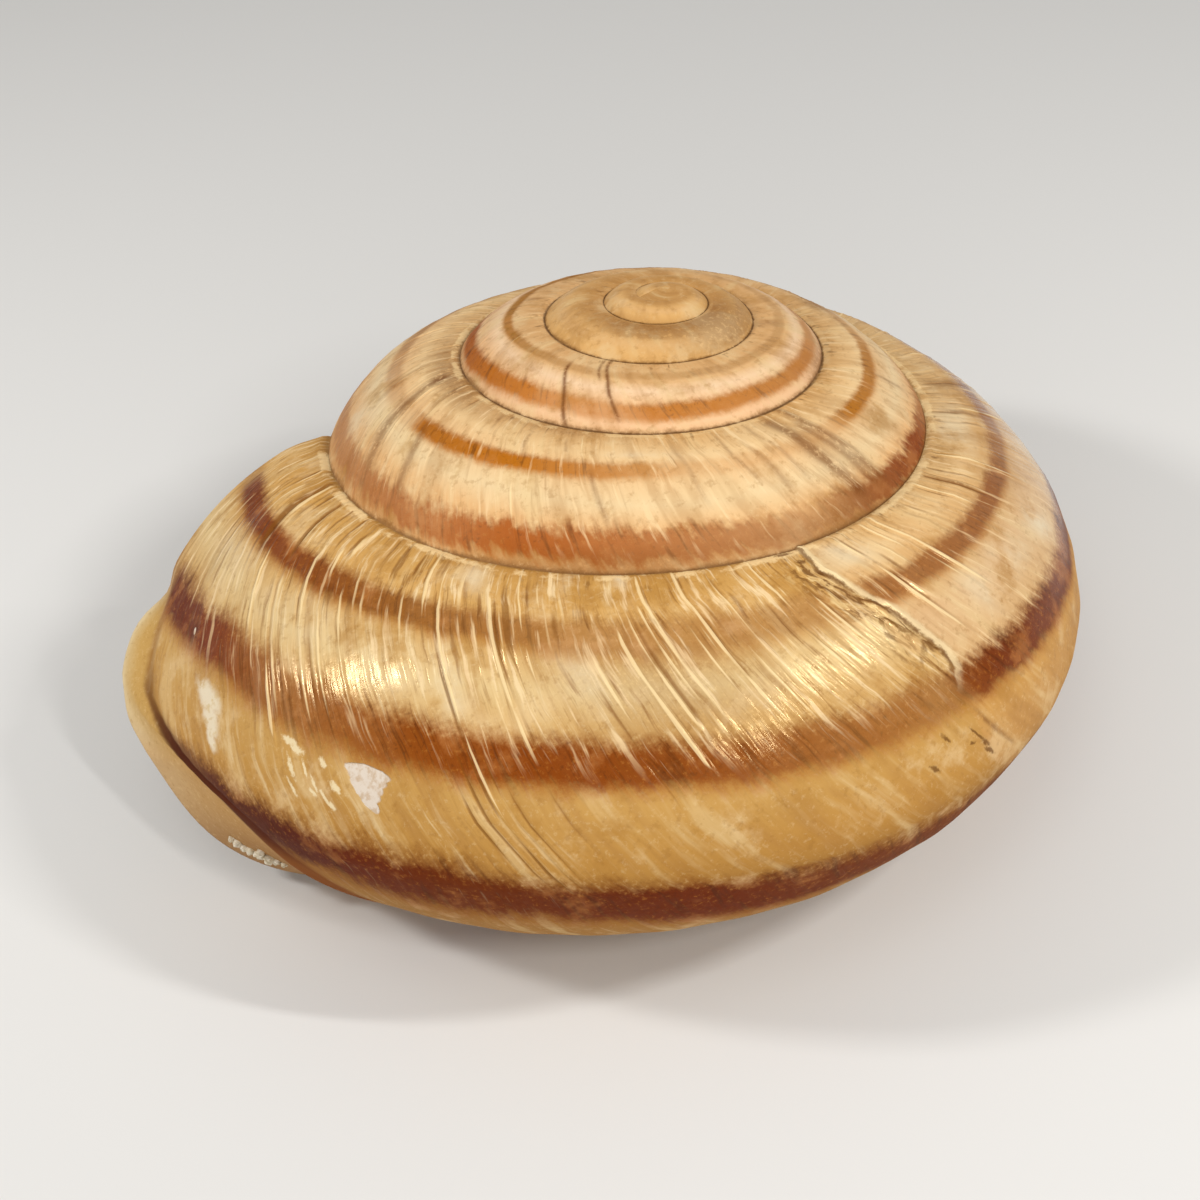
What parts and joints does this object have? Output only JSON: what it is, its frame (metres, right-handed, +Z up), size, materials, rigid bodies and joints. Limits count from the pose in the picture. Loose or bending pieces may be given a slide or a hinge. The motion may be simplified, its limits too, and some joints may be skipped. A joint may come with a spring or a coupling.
{
  "type": "land snail shell",
  "caption": "Empty right-handed land snail shell: low conical spire, banded rounded body whorl, narrow flared lip and open umbilicus.",
  "frame": {"origin": "under the middle of the shell's bounding box, on the surface that it rests on", "axes": "+Z up, apex upwards; the lip opens at -X and its mouth faces +Y; +X to the right of the side that shows no mouth"},
  "size_m": [0.0352, 0.0316, 0.0166],
  "materials": {
    "shell": "aged snail shell, cream to ochre with brown spiral bands, silky to glossy over fine growth ribs"
  },
  "bodies": {
    "root": {"shell": "shell"}
  },
  "joints": []
}
